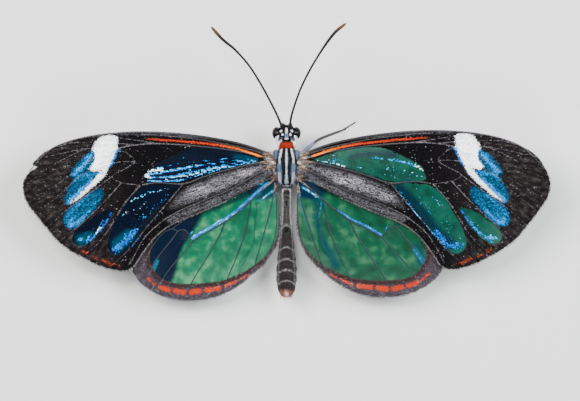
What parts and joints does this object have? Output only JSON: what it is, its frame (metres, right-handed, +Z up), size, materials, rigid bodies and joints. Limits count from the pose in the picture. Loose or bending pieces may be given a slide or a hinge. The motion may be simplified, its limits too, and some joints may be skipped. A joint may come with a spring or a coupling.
{
  "type": "clearwing butterfly",
  "caption": "Life-size clearwing butterfly, Ithomia patilla, standing with its wings spread flat, feelers forward and body straight.",
  "frame": {"origin": "on the ground under the middle of the thorax, which is the centre of the bottom of the object's box", "axes": "head towards -Y, +X to the insect's left along the wingspan, +Z up"},
  "size_m": [0.0504, 0.0266, 0.0072],
  "materials": {
    "head_scales": "black scales with small white spots",
    "eye": "glossy black compound eye with fine facets",
    "antenna": "ringed black feeler with a slim brown club",
    "palp": "black and white scales",
    "proboscis": "brown rolled tongue",
    "collar_scales": "orange-red scales",
    "thorax_scales": "black and pale blue stripes of fine scales and hair",
    "abdomen_scales": "grey-brown scales with paler rings",
    "forewing": "clear membrane with blue sheen, dark veins and border, white band and orange line",
    "hindwing": "clear membrane with blue sheen, dark veins and border with an orange band",
    "leg": "dark, finely scaled segments, paler on the thighs"
  },
  "bodies": {
    "root": {"head": "head_scales", "eye_left": "eye", "eye_right": "eye", "antenna_left": "antenna", "antenna_right": "antenna", "palp_left": "palp", "palp_right": "palp", "proboscis": "proboscis", "collar": "collar_scales", "thorax": "thorax_scales", "abdomen": "abdomen_scales", "forewing_left": "forewing", "forewing_right": "forewing", "hindwing_left": "hindwing", "hindwing_right": "hindwing", "foreleg_left": "leg", "foreleg_right": "leg", "midleg_left": "leg", "midleg_right": "leg", "hindleg_left": "leg", "hindleg_right": "leg"}
  },
  "joints": []
}
